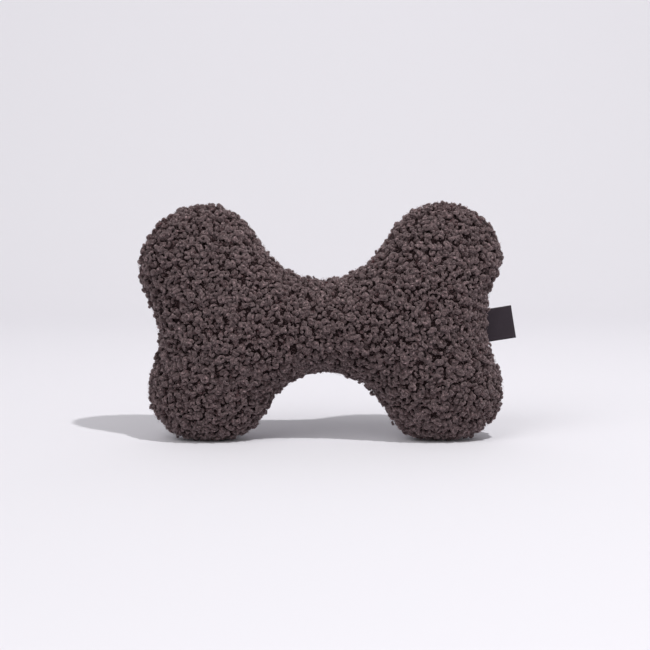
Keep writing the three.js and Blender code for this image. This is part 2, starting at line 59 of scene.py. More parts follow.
def linear(code):
    parts = [int(code[i:i + 2], 16) / 255 for i in (1, 3, 5)]
    return [c / 12.92 if c <= 0.04045 else ((c + 0.055) / 1.055) ** 2.4 for c in parts] + [1.0]


def smooth(low, high, value):
    share = min(max((value - low) / (high - low), 0.0), 1.0)
    return share * share * (3 - 2 * share)


def addNode(material, kind, values=None, links=None, **settings):
    node = material.node_tree.nodes.new("ShaderNode" + kind)
    for name, value in settings.items():
        setattr(node, name, value)
    for name, value in (values or {}).items():
        node.inputs[name].default_value = value
    for name, socket in (links or {}).items():
        material.node_tree.links.new(socket, node.inputs[name])
    return node


def newMaterial(name):
    material = bpy.data.materials.new(name)
    material.use_nodes = True
    material.node_tree.nodes.clear()
    return material


def closeMaterial(material, shader):
    addNode(material, "OutputMaterial", links={"Surface": shader.outputs[0]})
    return material


def newPiece(name, bm, material):
    mesh = bpy.data.meshes.new(name)
    bm.to_mesh(mesh)
    bm.free()
    mesh.materials.append(material)
    mesh.polygons.foreach_set("use_smooth", [True] * len(mesh.polygons))
    piece = bpy.data.objects.new(name, mesh)
    bpy.context.scene.collection.objects.link(piece)
    return piece


def nodeCopy(name):
    bm = bmesh.new()
    bm.from_mesh(nodes[name].data)
    bmesh.ops.remove_doubles(bm, verts=bm.verts, dist=0.002 * mm)
    bm.normal_update()
    return bm


def curlMaterial():
    # Crimped polyester pile, brushed into curls: matt, with a soft bloom at grazing angles.
    look = {
        # colours of the tips and of the roots, the roots darker for their dye and for painted shade deep in
        # the pile, and size of the patches that drift from them a little
        "tip": "#605051", "root": "#341619", "mottle": 28.0, "drift": (0.9, 1.1),
        # strands round and along one curl, and how dark and bright they get: partly the strands' own tone,
        # partly painted shade and highlight that follow the relief of the plies and strands
        "strandsRound": 6.0, "strandsAlong": 12.0, "strandRange": (0.33, 0.67), "fleckAndShade": (0.3, 1.8),
        # twist of the yarn, and the relief of both
        "plies": 2, "twists": 3, "plyRelief": 0.5, "bump": 0.9, "relief": 0.45,
        # painted highlights: size and strength of the bright flecks
        "glintPitch": 0.9, "glintRange": (0.58, 0.70), "glint": 2.6,
        # painted shade: how the colour darkens down the pile and down a curl's flank, and how much the curls
        # differ
        "litRange": (0.1, 0.75), "flankRange": (0.35, 0.95), "flank": 0.55, "uneven": 0.3,
        "roughness": (0.75, 0.35), "sheen": 0.55, "sheenRoughness": 0.35,
        "sheenTint": "#e0cccd", "specularTint": "#ecd8d8",
    }
    material = newMaterial("boucleCurls")
    place = addNode(material, "TexCoord")
    curl = addNode(material, "Attribute", attribute_name="curl")
    parts = addNode(material, "SeparateColor", links={0: curl.outputs["Color"]})
    tone, height, own = parts.outputs[0], parts.outputs[1], parts.outputs[2]
    # patches where the dye and the brushing differ
    patches = addNode(material, "TexNoise", {"Scale": 1000 / look["mottle"], "Detail": 2.0},
                      {"Vector": place.outputs["Object"]})
    spread = addNode(material, "Mapping", {"Scale": (look["strandsRound"], look["strandsAlong"], 1)},
                     {"Vector": place.outputs["UV"]})
    # each curl takes its strands from another place of the noise
    apart = addNode(material, "VectorMath", {1: (17, 29, 41)}, {0: curl.outputs["Vector"]},
                    operation="MULTIPLY_ADD")
    material.node_tree.links.new(spread.outputs[0], apart.inputs[2])
    fibres = addNode(material, "TexNoise", {"Scale": 1.0, "Detail": 3.0, "Distortion": 0.6},
                     {"Vector": apart.outputs[0]})
    low, high = look["strandRange"]
    strands = addNode(material, "MapRange", {"From Min": low, "From Max": high}, {"Value": fibres.outputs[0]})
    # the yarn is twisted from two plies
    flat = addNode(material, "SeparateXYZ", None, {0: place.outputs["UV"]})
    climb = addNode(material, "Math", {1: 2 * math.pi * look["twists"]}, {0: flat.outputs[1]},
                    operation="MULTIPLY")
    angle = addNode(material, "Math", {1: 2 * math.pi * look["plies"]},
                    {0: flat.outputs[0], 2: climb.outputs[0]}, operation="MULTIPLY_ADD")
    wave = addNode(material, "Math", None, {0: angle.outputs[0]}, operation="SINE")
    ply = addNode(material, "Math", {1: 0.5, 2: 0.5}, {0: wave.outputs[0]}, operation="MULTIPLY_ADD")
    relief = addNode(material, "Math", {1: look["plyRelief"]},
                     {0: ply.outputs[0], 2: strands.outputs[0]}, operation="MULTIPLY_ADD")
    # painted shade: the colour darkens from tip to root, deep in the pile
    low, high = look["litRange"]
    depth = addNode(material, "MapRange", {"From Min": low, "From Max": high}, {"Value": height},
                    interpolation_type="SMOOTHSTEP")
    # painted shade: the sides of each curl are darkened as if in the shade of its own top
    low, high = look["flankRange"]
    flank = addNode(material, "MapRange", {"From Min": low, "From Max": high, "To Min": look["flank"]},
                    {"Value": own}, interpolation_type="SMOOTHSTEP")
    lit = addNode(material, "Math", None, {0: depth.outputs[0], 1: flank.outputs[0]}, operation="MULTIPLY")
    body = addNode(material, "Mix", {6: linear(look["root"]), 7: linear(look["tip"])},
                   {0: lit.outputs[0]}, data_type="RGBA")
    even = addNode(material, "Math", {1: look["uneven"], 2: 1 - look["uneven"] / 2}, {0: tone},
                   operation="MULTIPLY_ADD")
    # painted highlights: bright specks where single fibres would catch the light
    specks = addNode(material, "TexNoise", {"Scale": 1000 / look["glintPitch"], "Detail": 1.0},
                     {"Vector": place.outputs["Object"]})
    low, high = look["glintRange"]
    glint = addNode(material, "MapRange", {"From Min": low, "From Max": high, "To Max": look["glint"]},
                    {"Value": specks.outputs[0]})
    # the strands' own tone, with painted shade in the grooves of the relief and painted highlight on its
    # ridges
    low, high = look["fleckAndShade"]
    fleckAndShade = addNode(material, "MapRange", {"From Max": 1 + look["plyRelief"], "To Min": low, "To Max": high},
                    {"Value": relief.outputs[0]})
    low, high = look["drift"]
    drift = addNode(material, "MapRange", {"From Min": 0.3, "From Max": 0.7, "To Min": low, "To Max": high},
                    {"Value": patches.outputs[0]})
    spark = addNode(material, "Math", None, {0: fleckAndShade.outputs[0], 1: glint.outputs[0]}, operation="ADD")
    both = addNode(material, "Math", None, {0: spark.outputs[0], 1: drift.outputs[0]}, operation="MULTIPLY")
    gain = addNode(material, "Math", None, {0: both.outputs[0], 1: even.outputs[0]}, operation="MULTIPLY")
    colour = addNode(material, "VectorMath", None, {0: body.outputs[2], 1: gain.outputs[0]},
                     operation="MULTIPLY")
    rough = addNode(material, "MapRange", {"To Min": look["roughness"][0], "To Max": look["roughness"][1]},
                    {"Value": strands.outputs[0]})
    bump = addNode(material, "Bump", {"Strength": look["bump"], "Distance": look["relief"] * mm},
                   {"Height": relief.outputs[0]})
    shader = addNode(material, "BsdfPrincipled",
                     {"Sheen Weight": look["sheen"], "Sheen Roughness": look["sheenRoughness"],
                      "Sheen Tint": linear(look["sheenTint"]), "Specular Tint": linear(look["specularTint"])},
                     {"Base Color": colour.outputs[0], "Roughness": rough.outputs[0],
                      "Normal": bump.outputs[0]})
    return closeMaterial(material, shader)


def groundMaterial():
    # Knitted polyester backing of the pile: dull and finely looped, and dark partly for its dye, partly as
    # painted shade deep under the pile.
    look = {"deep": "#190f10", "loop": "#261819", "pitch": 1.1, "relief": 0.3}
    material = newMaterial("boucleBacking")
    place = addNode(material, "TexCoord")
    loops = addNode(material, "TexVoronoi", {"Scale": 1000 / look["pitch"]},
                    {"Vector": place.outputs["Object"]})
    colour = addNode(material, "Mix", {6: linear(look["deep"]), 7: linear(look["loop"])},
                     {0: loops.outputs["Distance"]}, data_type="RGBA")
    bump = addNode(material, "Bump", {"Strength": 0.6, "Distance": look["relief"] * mm},
                   {"Height": loops.outputs["Distance"]})
    shader = addNode(material, "BsdfPrincipled", {"Roughness": 0.95, "Specular IOR Level": 0.15},
                     {"Base Color": colour.outputs[2], "Normal": bump.outputs[0]})
    return closeMaterial(material, shader)


curls = curlMaterial()
ground = groundMaterial()
print("materials made")


def skinVerts(bm, side):
    # the skin ends at the seam, so a walk from the fullest point stops there
    start = min(bm.verts, key=lambda v: v.co.y * -side)
    found, queue = {start}, [start]
    while queue:
        for edge in queue.pop().link_edges:
            for vert in edge.verts:
                if vert not in found and abs(vert.co.y) > cover["groove"] * mm:
                    found.add(vert)
                    queue.append(vert)
    return found


cover = {
    # depth of the ground under the solid's surface: less at the rim, full from "flat" off the middle on
    "sink": 2.8, "rimSink": 2.1, "rim": 1.25, "flat": 5.0,
    # half the width of the seam's groove, and the share of the rim's move that its line follows
    "groove": 0.9, "lineShare": 0.6,
    # places (x, z) where the stuffing presses the skin out, or lets it fall in: reach and rise
    "swells": [((-99, 134), 34, -1.8), ((-100, 14), 30, 2.0), ((104, 16), 30, 1.8), ((-44, 12), 22, 1.0)],
    # heights between which a swell outwards grows, so that the feet stay flat on the floor
    "feet": (1.0, 30.0),
}


def swell(point):
    rise = 0.0
    for (x, z), reach, amount in cover["swells"]:
        share = max(0.0, 1 - ((point.x / mm - x) ** 2 + (point.z / mm - z) ** 2) / reach ** 2)
        rise += amount * share * share
    return rise * smooth(*cover["feet"], point.z / mm) if rise > 0 else rise


def makeCover(name, node, side):
    bm = nodeCopy(node)
    skin = skinVerts(bm, side)
    # the pile grows from the skin as far as the seam's line
    corners, normals = [], []
    for face in bm.faces:
        onSkin = [v in skin for v in face.verts]
        atSeam = [abs(v.co.y) < cover["groove"] * mm for v in face.verts]
        if any(onSkin) and all(a or b for a, b in zip(onSkin, atSeam)):
            corners.append([v.co + v.normal * swell(v.co) * mm for v in face.verts])
            normals.append([v.normal.copy() for v in face.verts])
    moves = {}
    for vert in skin:
        share = smooth(cover["rim"], cover["flat"], abs(vert.co.y) / mm)
        depth = cover["rimSink"] + (cover["sink"] - cover["rimSink"]) * share
        moves[vert] = vert.normal * (swell(vert.co) - depth) * mm
    # the seam's own line follows the rim beside it
    for vert in bm.verts:
        beside = [edge.other_vert(vert) for edge in vert.link_edges if edge.other_vert(vert) in skin]
        if vert not in skin and beside:
            pull = sum((moves[v] for v in beside), Vector()) / len(beside)
            moves[vert] = Vector((pull.x, 0, pull.z)) * cover["lineShare"]
    for vert, move in moves.items():
        vert.co += move
    piece = newPiece(name, bm, ground)
    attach(piece, "toy")
    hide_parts(node)
    return piece, corners, normals


frontCover, frontCorners, frontNormals = makeCover("front_cover", "front_panel", -1)
backCover, backCorners, backNormals = makeCover("back_cover", "back_panel", 1)
print("covers made")


# how round the strand's ends are, how much its thickness varies, and how often that varies
strand = {"ends": 5, "uneven": 0.35, "alongIt": 5, "roundIt": 1.3}


def curlShape(kind, seed):
    # a round-ended strand wound up like a snail, or only bent where its sweep is short
    bm = bmesh.new()
    bm.loops.layers.uv.new("UVMap")
    bmesh.ops.create_uvsphere(bm, u_segments=kind["sides"], v_segments=kind["rows"], radius=1.0,
                              calc_uvs=True)
    for vert in bm.verts:
        along = math.asin(max(-1.0, min(1.0, vert.co.z))) / (math.pi / 2)
        around = math.atan2(vert.co.y, vert.co.x)
        girth = kind["thick"] * math.sqrt(max(0.0, 1 - abs(along) ** strand["ends"]))
        spot = (along * strand["alongIt"], strand["roundIt"] * math.cos(around),
                strand["roundIt"] * math.sin(around) + seed * 7.1)
        girth *= 1 + strand["uneven"] * noise.noise(Vector(spot))
        turn = along * math.radians(kind["sweep"]) / 2
        reach = kind["ring"] * (1 - kind["tighten"] * along) + girth * math.cos(around)
        rise = kind["lift"] * along + girth * math.sin(around)
        vert.co = Vector((reach * math.cos(turn), reach * math.sin(turn), rise)) * mm
    bm.normal_update()
    mesh = bpy.data.meshes.new("curlShape")
    bm.to_mesh(mesh)
    bm.free()
    return mesh


label = {
    # the ribbon's two ends from the line where it bends, its width, half the distance between the middles
    # of its two plies, its thickness, and its size when it lies unfolded
    "inside": -9.5, "outside": 12.9, "width": 20.0, "ply": 0.325, "thickness": 0.35, "flat": (20.0, 44.8),
    # faces along each ply, round the fold and across
    "along": 22, "round": 10, "across": 20,
    # the free part waves and cups, starting near the line where it bends
    "free": (1.0, 8.0), "wave": 0.22, "waveAlong": 9.0, "waveAcross": 8.0, "cupTop": 0.4, "cupFoot": 0.6,
    # the pile's room: past the long sides, over the sewn-in ends, and where the ribbon swings
    "margin": 0.6, "clear": 0.8, "bend": 74.0, "swing": 15.0, "root": 1.0, "near": 85.0,
}
hinge = next(joint for joint in frame["joints"] if joint["name"] == "label_bend")
labelRoot = Vector(hinge["pos_m"])
labelUp = Vector(hinge["axis"]).normalized()
labelOut = Vector((labelUp.z, 0, -labelUp.x))


def clearLabel(places):
    # the pile stands back from the ribbon, and from where it swings to either side
    away = places - np.array(labelRoot)
    out, up = away @ np.array(labelOut), away @ np.array(labelUp)
    side = np.where(away[:, 1] < 0, -1.0, 1.0)
    deep = np.abs(away[:, 1])
    beside = np.abs(up) < (label["width"] / 2 + label["margin"]) * mm
    clear = label["clear"] * mm
    deep[beside & (out > label["inside"] * mm) & (out <= 0) & (deep < clear)] = clear
    span = np.hypot(out, deep)
    angle = np.arctan2(deep, out)
    back = math.radians(label["bend"])
    swept = beside & (out > 0) & (span < label["swing"] * mm) & (angle < back)
    radius = np.maximum(span, label["root"] * mm)
    newOut = np.where(swept, radius * math.cos(back), out)
    deep = np.where(swept, radius * math.sin(back), deep)
    moved = np.array(labelRoot) + newOut[:, None] * np.array(labelOut) + up[:, None] * np.array(labelUp)
    moved[:, 1] = side * deep
    return moved


# kinds of curl: radius of the ring, how it tightens and climbs, thickness and sweep of the strand
coil = {"ring": 1.45, "tighten": 0.50, "lift": 1.15, "thick": 0.85, "sweep": 600, "tilt": (0, 90),
        "sides": 5, "rows": 15}
bud = {"ring": 0.95, "tighten": 0.35, "lift": 0.95, "thick": 1.20, "sweep": 420, "tilt": (0, 90),
       "sides": 6, "rows": 10}
loop = {"ring": 1.40, "tighten": 0.15, "lift": 0.40, "thick": 0.95, "sweep": 290, "tilt": (5, 60),
        "sides": 5, "rows": 9}
hook = {"ring": 1.45, "tighten": 0.10, "lift": 0.40, "thick": 1.00, "sweep": 210, "tilt": (10, 80),
        "sides": 6, "rows": 8}
bean = {"ring": 1.90, "tighten": 0.00, "lift": 0.30, "thick": 1.05, "sweep": 115, "tilt": (0, 90),
        "sides": 6, "rows": 7}
layers = [
    # stray curls that stand out of the pile
    {"gap": 10.0, "size": (0.65, 0.95), "rise": (0.9, 2.1), "kinds": [(hook, 0.5), (loop, 0.5)]},
    # larger ones a little above the rest
    {"gap": 7.5, "size": (0.85, 1.2), "rise": (0.5, 1.4), "kinds": [(bud, 0.3), (coil, 0.4), (hook, 0.3)]},
    # the pile's own surface
    {"gap": 3.5, "size": (0.75, 1.25), "rise": (-0.9, 0.8),
     "kinds": [(coil, 0.45), (bud, 0.2), (loop, 0.2), (hook, 0.15)]},
    # low ones that fill the gaps between
    {"gap": 2.5, "size": (0.65, 1.0), "rise": (-1.5, -0.4),
     "kinds": [(bud, 0.4), (loop, 0.2), (hook, 0.3), (bean, 0.1)]},
]
# curls of both panels that meet over the seam and hide it
seam = {"gap": 2.3, "size": (0.7, 1.05), "rise": (-1.0, 0.8), "kinds": [(bud, 0.4), (loop, 0.2), (hook, 0.4)],
        "reach": 2.6, "pull": 0.35}
# the curls cling together in clumps, with low places and slight cracks between
clump = {"length": 9.0, "rise": 0.5, "cell": 9.0, "border": 0.16, "crack": 0.5}
pile = {
    "variants": 5, "squash": (0.88, 1.12),  # no curl is quite round
    "throws": 7,  # for each square of the gap's size
    "depth": 3.2,  # painted shade darkens the pile over this depth under the skin, where no light comes
    "press": 1.2,  # height of what the floor bends
    "middle": 40.0, "level": 70.35,  # bounds between its pieces
}
pick = random.Random(41)
for layer in layers + [seam]:
    layer["shapes"] = [(kind, curlShape(kind, k)) for kind, share in layer["kinds"]
                       for k in range(pile["variants"])]
    layer["shares"] = [share for kind, share in layer["kinds"] for k in range(pile["variants"])]


def scatter(corners, normals, gap):
    # random points at least a gap apart, thrown by area
    areas = [((b - a).cross(c - a)).length / 2 for a, b, c in corners]
    throws = int(sum(areas) / (gap * mm) ** 2 * pile["throws"])
    spots = pick.choices(range(len(corners)), weights=areas, k=throws)
    cell = gap * mm
    taken, found = {}, []
    for spot in spots:
        u, v = pick.random(), pick.random()
        if u + v > 1:
            u, v = 1 - u, 1 - v
        a, b, c = corners[spot]
        point = a + (b - a) * u + (c - a) * v
        key = (math.floor(point.x / cell), math.floor(point.y / cell), math.floor(point.z / cell))
        near = [q for i in (-1, 0, 1) for j in (-1, 0, 1) for k in (-1, 0, 1)
                for q in taken.get((key[0] + i, key[1] + j, key[2] + k), ())]
        if any((point - q).length_squared < cell * cell for q in near):
            continue
        taken.setdefault(key, []).append(point)
        na, nb, nc = normals[spot]
        found.append((point, (na * (1 - u - v) + nb * u + nc * v).normalized()))
    return found


def clumpRise(point):
    near = noise.voronoi(point / (clump["cell"] * mm))[0]
    crack = 1 - smooth(0, clump["border"], near[1] - near[0])
    return clump["rise"] * noise.noise(point / (clump["length"] * mm)) - clump["crack"] * crack


def placeCurl(point, normal, layer):
    kind, shape = pick.choices(layer["shapes"], weights=layer["shares"])[0]
    size = pick.uniform(*layer["size"])
    tilt = math.radians(pick.uniform(*kind["tilt"]))
    rise = pick.uniform(*layer["rise"]) + clumpRise(point)
    reach = (kind["ring"] * math.sin(tilt) + kind["thick"]) * size
    stand = upAxis.rotation_difference(normal).to_matrix().to_4x4()
    turn = Matrix.Rotation(pick.uniform(0, 2 * math.pi), 4, "Z")
    lean = Matrix.Rotation(tilt, 4, "X")
    roll = Matrix.Rotation(pick.uniform(0, 2 * math.pi), 4, "Z")
    centre = point - normal * (reach - rise) * mm
    girths = Matrix.Diagonal([size * pick.uniform(*pile["squash"]) for axis in range(3)] + [1.0])
    return shape, Matrix.Translation(centre) @ stand @ turn @ lean @ roll @ girths, reach


def makePile(name, parent, placed):
    bm = bmesh.new()
    bm.loops.layers.uv.new("UVMap")
    tones, heights, owns = [], [], []
    for shape, matrix, reach, point, normal, tone in placed:
        copy = shape.copy()
        copy.transform(matrix)
        bm.from_mesh(copy)
        places = np.empty(len(copy.vertices) * 3)
        copy.vertices.foreach_get("co", places)
        # height in the pile and place up its own curl, which the material turns into painted shade
        above = (places.reshape(-1, 3) - np.array(point)) @ np.array(normal)
        heights.append(np.clip(1 + above / (pile["depth"] * mm), 0, 1))
        own = (places.reshape(-1, 3) - np.array(matrix.translation)) @ np.array(normal)
        owns.append(np.clip(0.5 + 0.5 * own / (reach * mm), 0, 1) if reach else np.ones(len(own)))
        tones.append(np.full(len(copy.vertices), tone))
        bpy.data.meshes.remove(copy)
    piece = newPiece(name, bm, curls)
    mesh = piece.data
    values = np.zeros((len(mesh.vertices), 4))
    values[:, 0], values[:, 1] = np.concatenate(tones), np.concatenate(heights)
    values[:, 2], values[:, 3] = np.concatenate(owns), 1
    mesh.attributes.new("curl", "FLOAT_COLOR", "POINT").data.foreach_set("color", values.ravel())
    # the pile is pressed flat on the floor
    places = np.empty(len(mesh.vertices) * 3)
    mesh.vertices.foreach_get("co", places)
    places = places.reshape(-1, 3)
    press = pile["press"] * mm
    low = places[:, 2] < press
    places[low, 2] = press * np.exp((places[low, 2] - press) / press)
    near = places[:, 0] > label["near"] * mm
    places[near] = clearLabel(places[near])
    mesh.vertices.foreach_set("co", places.ravel())
    piece.parent = parent
    return piece


def triangles(piece):
    return sum(len(face.vertices) - 2 for face in piece.data.polygons)


def growPile(side, parent, corners, normals):
    placed = []
    for layer in layers:
        for point, normal in scatter(corners, normals, layer["gap"]):
            shape, matrix, reach = placeCurl(point, normal, layer)
            placed.append((shape, matrix, reach, point, normal, pick.random()))
    beside = [k for k, trio in enumerate(corners) if min(abs(v.y) for v in trio) < seam["reach"] * mm]
    for point, normal in scatter([corners[k] for k in beside], [normals[k] for k in beside], seam["gap"]):
        if abs(point.y) < seam["reach"] * mm:
            point.y *= seam["pull"]
            normal = Vector((normal.x, 0, normal.z)).normalized()
            shape, matrix, reach = placeCurl(point, normal, seam)
            placed.append((shape, matrix, reach, point, normal, pick.random()))
    # five pieces, so that none is too heavy
    areas = {"upper_left": [], "lower_left": [], "middle": [], "upper_right": [], "lower_right": []}
    for curl in placed:
        spot = curl[3]
        if abs(spot.x) < pile["middle"] * mm:
            areas["middle"].append(curl)
        else:
            level = "upper" if spot.z > pile["level"] * mm else "lower"
            areas[level + ("_left" if spot.x < 0 else "_right")].append(curl)
    for area, mine in areas.items():
        piece = makePile(f"{side}_pile_{area}", parent, mine)
        print(piece.name, len(mine), "curls", triangles(piece), "triangles")


fuzz = {
    # painted sheen and highlight: thin fibres catch more light, so their tone is set above a curl's, which is
    # 1 at the most
    "gap": 1.75, "fibres": 3, "spread": 0.9, "length": (0.8, 1.7), "radius": 0.05, "rise": (-1.0, 0.4),
    "lean": (0, 60), "bend": (40, 140), "sides": 3, "rows": 2, "tone": (2.5, 6.0), "tufts": 8,
}


def tuftShape(seed):
    # a few loose fibres side by side, each a thin cone spun in an arc
    dice = random.Random(seed)
    bm = bmesh.new()
    bm.loops.layers.uv.new("UVMap")
    for k in range(fuzz["fibres"]):
        old = set(bm.verts)
        foot = bmesh.ops.create_circle(bm, cap_ends=True, segments=fuzz["sides"],
                                       radius=fuzz["radius"])["verts"]
        bend = math.radians(dice.uniform(*fuzz["bend"]))
        length = dice.uniform(*fuzz["length"])
        spun = bmesh.ops.spin(bm, geom=foot[0].link_faces[:], cent=(length / bend, 0, 0), axis=(0, 1, 0),
                              angle=bend, steps=fuzz["rows"])
        tip = [v for face in spun["geom_last"] if isinstance(face, bmesh.types.BMFace) for v in face.verts]
        bmesh.ops.pointmerge(bm, verts=tip, merge_co=sum((v.co for v in tip), Vector()) / len(tip))
        turn = Matrix.Rotation(dice.uniform(0, 2 * math.pi), 4, "Z")
        lean = Matrix.Rotation(math.radians(dice.uniform(*fuzz["lean"])), 4, "X")
        side = Matrix.Translation([dice.uniform(-1, 1) * fuzz["spread"] for axis in range(2)] + [0])
        bmesh.ops.transform(bm, matrix=side @ turn @ lean, verts=[v for v in bm.verts if v not in old])
    bmesh.ops.recalc_face_normals(bm, faces=bm.faces)
    bmesh.ops.scale(bm, vec=(mm, mm, mm), verts=bm.verts)
    mesh = bpy.data.meshes.new("tuftShape")
    bm.to_mesh(mesh)
    bm.free()
    return mesh


tuftShapes = [tuftShape(k) for k in range(fuzz["tufts"])]


def growFuzz(side, parent, corners, normals):
    placed = {"left": [], "right": []}
    for point, normal in scatter(corners, normals, fuzz["gap"]):
        stand = upAxis.rotation_difference(normal).to_matrix().to_4x4()
        turn = Matrix.Rotation(pick.uniform(0, 2 * math.pi), 4, "Z")
        rise = pick.uniform(*fuzz["rise"]) + clumpRise(point)
        matrix = Matrix.Translation(point + normal * rise * mm) @ stand @ turn
        half = placed["left" if point.x < 0 else "right"]
        # painted sheen and highlight: each tuft's tone lies above a curl's
        half.append((pick.choice(tuftShapes), matrix, 0, point, normal, pick.uniform(*fuzz["tone"])))
    for half, mine in placed.items():
        piece = makePile(f"{side}_fuzz_{half}", parent, mine)
        print(piece.name, len(mine), "tufts", triangles(piece), "triangles")


growPile("front", frontCover, frontCorners, frontNormals)
growPile("back", backCover, backCorners, backNormals)
growFuzz("front", frontCover, frontCorners, frontNormals)
growFuzz("back", backCover, backCorners, backNormals)
print("pile made")


def ribbonMaterial():
    # Woven polyester label, damask on a needle loom: fine ribs with a dull satin glow.
    look = {
        "base": "#1e161e", "light": "#30242e", "band": "#2d222b", "melted": "#191218",
        # a real label's ribs are about 0.2 mm apart, and are drawn coarser here so that they show
        "pitch": 0.48, "cross": 0.30, "crossShare": 0.35, "yarn": 0.9, "yarnShare": 0.8,
        # places of the bands and of the melted edges, from the middle of the ribbon's width
        "bandMiddle": 8.2, "bandHalf": 0.55, "edgeFrom": 9.65, "edgeTo": 9.95,
        "roughness": (0.62, 0.42), "sheen": 0.1, "sheenTint": "#b9a8bf", "relief": 0.12,
    }
    material = newMaterial("wovenLabel")
    place = addNode(material, "TexCoord")
    flat = addNode(material, "SeparateXYZ", None, {0: place.outputs["UV"]})
    waves = []
    for socket, pitch in ((flat.outputs[0], look["pitch"]), (flat.outputs[1], look["cross"])):
        turn = addNode(material, "Math", {1: 2 * math.pi / (pitch * mm)}, {0: socket}, operation="MULTIPLY")
        wave = addNode(material, "Math", None, {0: turn.outputs[0]}, operation="SINE")
        waves.append(addNode(material, "Math", {1: 0.5, 2: 0.5}, {0: wave.outputs[0]},
                             operation="MULTIPLY_ADD"))
    ribs, cross = waves
    yarn = addNode(material, "TexNoise", {"Scale": 1000 / look["yarn"], "Detail": 3.0},
                   {"Vector": place.outputs["Object"]})
    # two plain bands in a closer weave run along the label's long sides
    across = addNode(material, "Math", None, {0: flat.outputs[1]}, operation="ABSOLUTE")
    inBand = addNode(material, "Math", {1: look["bandMiddle"] * mm, 2: look["bandHalf"] * mm},
                     {0: across.outputs[0]}, operation="COMPARE")
    # its edges are cut hot, so the threads are melted together there
    atEdge = addNode(material, "MapRange",
                     {"From Min": look["edgeFrom"] * mm, "From Max": look["edgeTo"] * mm},
                     {"Value": across.outputs[0]})
    weave = addNode(material, "Math", {1: look["crossShare"]}, {0: cross.outputs[0], 2: ribs.outputs[0]},
                    operation="MULTIPLY_ADD")
    mixed = addNode(material, "Math", {1: look["yarnShare"]}, {0: yarn.outputs[0], 2: weave.outputs[0]},
                    operation="MULTIPLY_ADD")
    level = addNode(material, "MapRange", {"From Min": 0.3, "From Max": 1.6}, {"Value": mixed.outputs[0]})
    colour = addNode(material, "Mix", {6: linear(look["base"]), 7: linear(look["light"])},
                     {0: level.outputs[0]}, data_type="RGBA")
    band = addNode(material, "Mix", {7: linear(look["band"])}, {0: inBand.outputs[0], 6: colour.outputs[2]},
                   data_type="RGBA")
    melted = addNode(material, "Mix", {7: linear(look["melted"])}, {0: atEdge.outputs[0], 6: band.outputs[2]},
                     data_type="RGBA")
    rough = addNode(material, "MapRange", {"To Min": look["roughness"][0], "To Max": look["roughness"][1]},
                    {"Value": level.outputs[0]})
    bump = addNode(material, "Bump", {"Strength": 0.7, "Distance": look["relief"] * mm},
                   {"Height": weave.outputs[0]})
    shader = addNode(material, "BsdfPrincipled",
                     {"Sheen Weight": look["sheen"], "Sheen Roughness": 0.35,
                      "Sheen Tint": linear(look["sheenTint"]), "Specular IOR Level": 0.4},
                     {"Base Color": melted.outputs[2], "Roughness": rough.outputs[0],
                      "Normal": bump.outputs[0]})
    return closeMaterial(material, shader)


def makeLabel():
    # one ribbon, folded at the outside, with both ends sewn into the seam
    bm = bmesh.new()
    centre = label["outside"] - label["ply"] - label["thickness"] / 2
    first = bm.verts.new((label["inside"], -label["ply"], 0))
    last = bm.verts.new((centre, -label["ply"], 0))
    edge = bm.edges.new((first, last))
    bmesh.ops.subdivide_edges(bm, edges=[edge], cuts=label["along"] - 1)
    last = max(bm.verts, key=lambda v: v.co.x)
    bmesh.ops.spin(bm, geom=[last], cent=(centre, 0, 0), axis=(0, 0, 1), angle=math.pi, steps=label["round"])
    top = max(bm.verts, key=lambda v: (round(v.co.y, 5), -v.co.x))
    for step in range(label["along"]):
        top = bmesh.ops.extrude_vert_indiv(bm, verts=[top])["verts"][0]
        top.co.x = centre + (label["inside"] - centre) * (step + 1) / label["along"]
    # the folded line is drawn out to the ribbon's width, row by row
    strip = bm.edges[:]
    bmesh.ops.translate(bm, verts=bm.verts, vec=(0, 0, -label["width"] / 2))
    row = label["width"] / label["across"]
    for step in range(label["across"]):
        grown = bmesh.ops.extrude_edge_only(bm, edges=strip)["geom"]
        bmesh.ops.translate(bm, verts=[v for v in grown if isinstance(v, bmesh.types.BMVert)],
                            vec=(0, 0, row))
        level = row * (step + 1) - label["width"] / 2
        strip = [e for e in grown if isinstance(e, bmesh.types.BMEdge)
                 and all(abs(v.co.z - level) < 1e-4 for v in e.verts)]
    bmesh.ops.recalc_face_normals(bm, faces=bm.faces)
    # the cloth's own length round the fold is the pattern's first direction
    pattern = bm.loops.layers.uv.new("UVMap")
    fold = math.pi * label["ply"]
    for face in bm.faces:
        for corner in face.loops:
            x, y, z = corner.vert.co
            if x <= centre + 1e-6:
                run = x - label["inside"] if y < 0 else 2 * centre - label["inside"] - x + fold
            else:
                run = centre - label["inside"] + label["ply"] * (math.atan2(x - centre, -y))
            corner[pattern].uv = (run * mm, z * mm)
    # a sewn ribbon is never quite flat: it cups a little towards the front
    for vert in bm.verts:
        free = smooth(*label["free"], vert.co.x)
        spot = (vert.co.x / label["waveAlong"], 3.7, vert.co.z / label["waveAcross"])
        wave = label["wave"] * noise.noise(Vector(spot))
        cup = label["cupTop"] if vert.co.z > 0 else label["cupFoot"]
        vert.co.y += free * (wave - cup * (2 * vert.co.z / label["width"]) ** 2)
    bmesh.ops.solidify(bm, geom=bm.faces[:], thickness=-label["thickness"] / 2)
    axes = Matrix((labelOut, Vector((0, 1, 0)), labelUp)).transposed().to_4x4()
    bmesh.ops.transform(bm, matrix=Matrix.Translation(labelRoot) @ axes @ Matrix.Scale(mm, 4), verts=bm.verts)
    bmesh.ops.recalc_face_normals(bm, faces=bm.faces)
    piece = newPiece("folded_label", bm, ribbonMaterial())
    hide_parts("side_label", "label_tail_front", "label_tail_back")
    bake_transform(piece)
    lows = [min(v.co[i] for v in piece.data.vertices) * 1000 for i in range(3)]
    highs = [max(v.co[i] for v in piece.data.vertices) * 1000 for i in range(3)]
    print("label made", [round(v, 2) for v in lows], [round(v, 2) for v in highs])


makeLabel()


